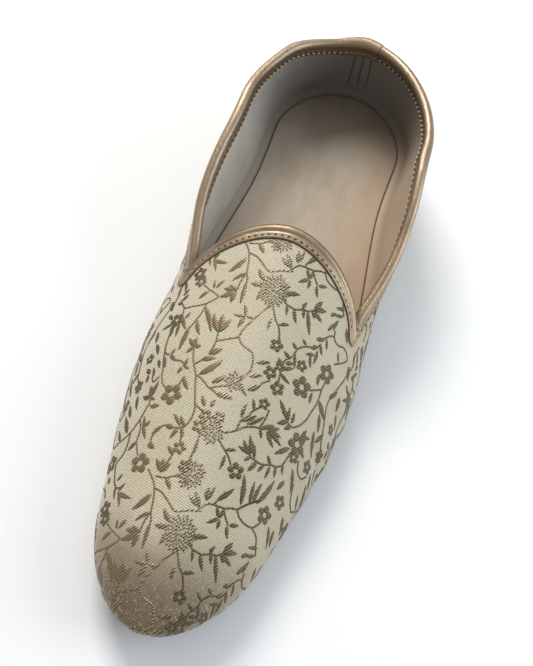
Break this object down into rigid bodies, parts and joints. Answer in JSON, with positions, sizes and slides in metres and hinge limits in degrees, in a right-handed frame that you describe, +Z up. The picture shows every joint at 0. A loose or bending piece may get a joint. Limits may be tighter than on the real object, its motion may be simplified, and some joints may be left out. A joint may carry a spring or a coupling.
{
  "type": "mojari shoe",
  "caption": "Low slip-on shoe of floral brocade with a closed heel, an arched vamp, metallic leather binding and a thin heeled sole.",
  "frame": {"origin": "middle of the heel lift's flat resting face, on the floor", "axes": "+Y along the shoe to the toe, +X to the wearer's right, +Z up from the floor"},
  "size_m": [0.0927, 0.284, 0.0606],
  "materials": {
    "brocade": "ivory twill ground with woven bronze-gold vines",
    "lining_leather": "smooth cream lining leather, satin",
    "binding_leather": "antique gold metallic leather, satin gloss",
    "sole": "dark brown sole, worn matte",
    "heel": "dark brown heel lift, matte"
  },
  "bodies": {
    "root": {"upper": "brocade", "outsole": "sole", "heel_lift": "heel", "insole": "lining_leather", "vamp_binding": "binding_leather", "topline_binding": "binding_leather"}
  },
  "joints": []
}
